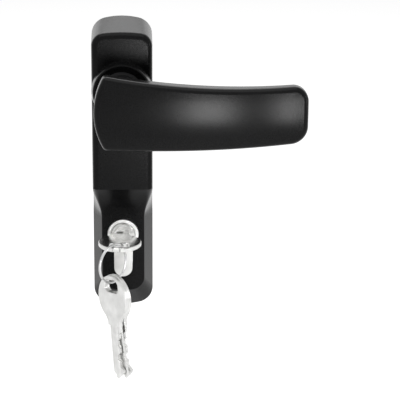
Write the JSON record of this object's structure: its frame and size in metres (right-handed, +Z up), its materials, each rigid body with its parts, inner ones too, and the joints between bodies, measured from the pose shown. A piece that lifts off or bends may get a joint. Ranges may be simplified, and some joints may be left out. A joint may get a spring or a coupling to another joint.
{
  "type": "panic bar exterior handle",
  "caption": "Outside trim of a panic bar: a long black casing with a wide lever, a half cylinder with its key turned, and a ring of hanging keys.",
  "frame": {"origin": "on the door's outer face, on the axis of the spindle", "axes": "+Z up along the casing, +X to the side that the lever points to, +Y into the door, so the viewer stands at -Y"},
  "size_m": [0.1134, 0.118, 0.1921],
  "materials": {
    "black_casing": "satin black powder coat, finely speckled",
    "black_lever": "satin black powder coat, finely speckled",
    "zinc_plated_steel": "zinc plated",
    "spring_steel": "bright drawn wire and pressed steel",
    "cam_steel": "sintered steel",
    "slider_plastic": "natural acetal",
    "black_plastic": "black acetal",
    "nickel": "satin nickel plate",
    "key_nickel": "bright nickel plate",
    "ring_wire": "bright steel wire",
    "brass": "turned brass"
  },
  "bodies": {
    "casing": {"cover": "black_casing", "base_plate": "zinc_plated_steel", "upper_fixing_post": "zinc_plated_steel", "lower_fixing_post": "zinc_plated_steel", "cover_screws": "zinc_plated_steel", "handle_bush": "black_plastic", "stop_pin": "spring_steel", "return_spring": "spring_steel", "cylinder_body": "nickel", "driver_pins": "brass", "pin_springs": "spring_steel", "chamber_plugs": "brass", "cylinder_screw": "zinc_plated_steel"},
    "handle": {"lever": "black_lever", "spindle": "zinc_plated_steel", "grub_screw": "spring_steel", "drive_disc": "zinc_plated_steel", "neck_washer": "spring_steel", "neck_circlip": "spring_steel"},
    "slider": {"return_slider": "slider_plastic"},
    "rotor": {"cylinder_plug": "nickel", "key_pins": "brass", "cam": "cam_steel", "plug_clip": "spring_steel", "key_in_lock": "key_nickel"},
    "ring": {"key_ring": "ring_wire"},
    "front_key": {"hanging_key_front": "key_nickel"},
    "back_key": {"hanging_key_back": "key_nickel"}
  },
  "joints": [
    {"name": "handle_turn", "type": "hinge", "parent": "casing", "child": "handle", "pos_m": [0, 0, 0], "axis": [0, 1, 0], "range_deg": [0, 45], "stiffness_Nm_per_rad": 0.6, "springref_deg": -34.38},
    {"name": "slider_travel", "type": "slide", "parent": "casing", "child": "slider", "axis": [0, 0, -1], "range_m": [0, 0.0081], "deforming": ["return_spring"]},
    {"name": "plug_turn", "type": "hinge", "parent": "casing", "child": "rotor", "pos_m": [0, 0, -0.083], "axis": [0, 1, 0], "range_deg": [-90, 0]},
    {"name": "ring_swing", "type": "hinge", "parent": "rotor", "child": "ring", "pos_m": [-0.0055, -0.0411, -0.083], "axis": [1, 0, 0], "range_deg": [-40, 8]},
    {"name": "front_key_swing", "type": "hinge", "parent": "ring", "child": "front_key", "pos_m": [-0.0064, -0.0421, -0.10121], "axis": [0.766, 0.6428, 0], "range_deg": [-20, 20]},
    {"name": "back_key_swing", "type": "hinge", "parent": "ring", "child": "back_key", "pos_m": [-0.0046, -0.0401, -0.10121], "axis": [0.766, 0.6428, 0], "range_deg": [-20, 20]}
  ],
  "couplings": [
    {"joint": "slider_travel", "follows": "handle_turn", "m_per_rad": 0.010232}
  ]
}
